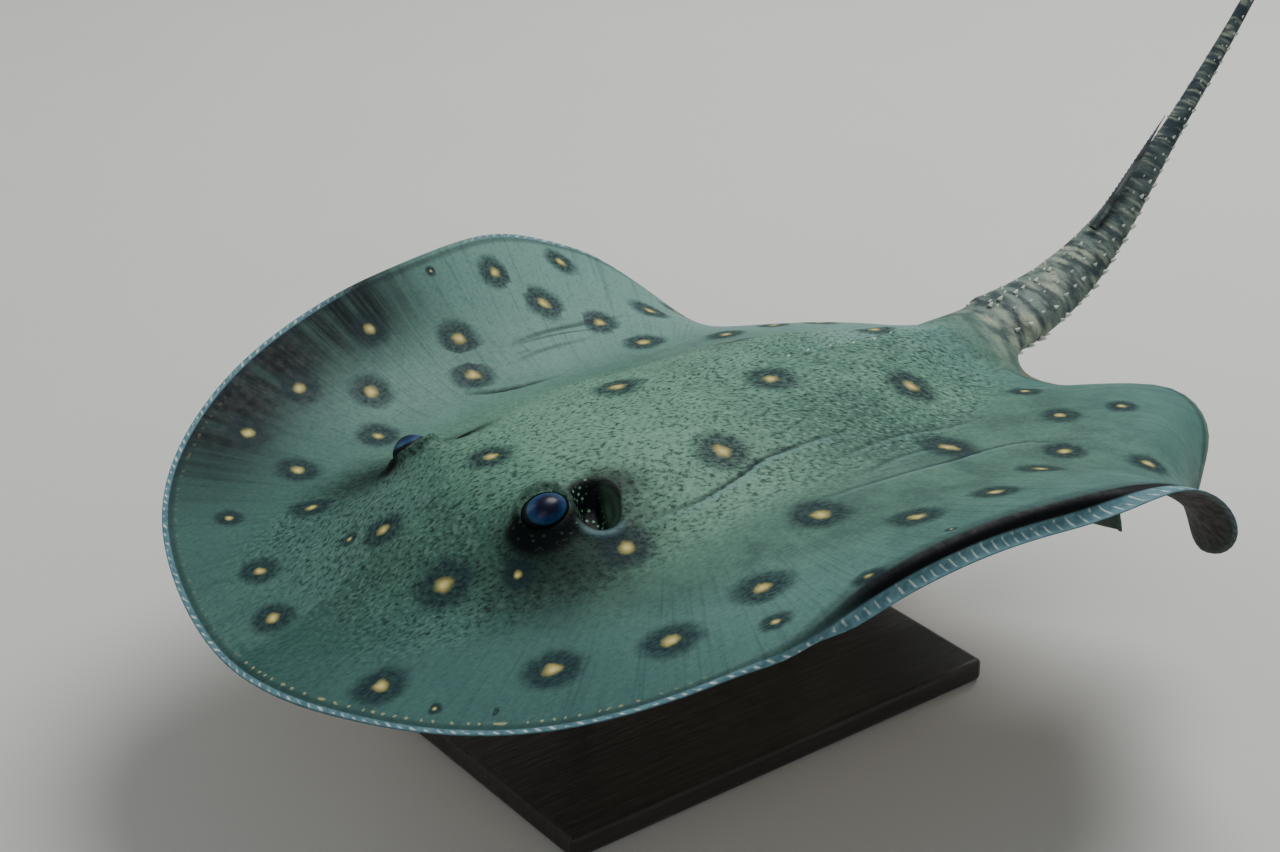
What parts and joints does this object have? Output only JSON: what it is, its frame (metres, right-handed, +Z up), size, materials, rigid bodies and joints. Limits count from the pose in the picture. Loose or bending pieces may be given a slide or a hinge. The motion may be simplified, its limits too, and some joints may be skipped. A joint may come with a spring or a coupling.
{
  "type": "freshwater stingray model",
  "caption": "Life-size ocellate river stingray swimming with raised fin margins and an upswept tail, held above a flat base by slim rods.",
  "frame": {"origin": "middle of the display stand's underside, which is what the model stands on", "axes": "+Z up, snout toward -Y, tail toward +Y, the animal's left side toward +X"},
  "size_m": [0.3794, 0.5902, 0.322],
  "materials": {
    "skin": "moist grey-green skin with ringed yellow spots, pale below",
    "eye": "clear glossy cornea over a dark blue iris",
    "sting": "dentine, bone grey",
    "stand_base": "matt black",
    "stand_rod": "satin steel rod"
  },
  "bodies": {
    "root": {"head": "skin", "trunk": "skin", "pectoral_fin_left": "skin", "pectoral_fin_right": "skin", "pelvic_fin_left": "skin", "pelvic_fin_right": "skin", "tail_base": "skin", "tail_middle": "skin", "tail_tip": "skin", "sting": "sting", "eye_left": "eye", "eye_right": "eye", "stand_base": "stand_base", "stand_rod_front": "stand_rod", "stand_rod_rear": "stand_rod"}
  },
  "joints": []
}
